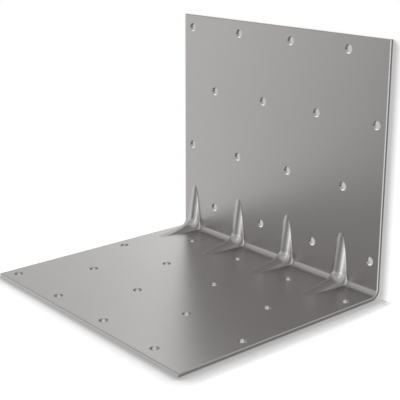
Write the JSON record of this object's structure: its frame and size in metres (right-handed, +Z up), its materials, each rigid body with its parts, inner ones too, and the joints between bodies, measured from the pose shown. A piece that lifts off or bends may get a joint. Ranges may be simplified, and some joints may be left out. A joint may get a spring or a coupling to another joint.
{
  "type": "angle bracket",
  "caption": "Wide angle bracket folded from steel sheet, with ribs pressed across the bend and staggered fixing holes in both legs, for joining members at a right angle.",
  "frame": {"origin": "middle of the bracket's footprint, on the underside of the base leg", "axes": "+X along the bend, +Y towards the upright leg's back, +Z up along the upright leg"},
  "size_m": [0.23, 0.2, 0.2],
  "materials": {
    "steel": "satin"
  },
  "bodies": {
    "root": {"angle_bracket": "steel"}
  },
  "joints": []
}
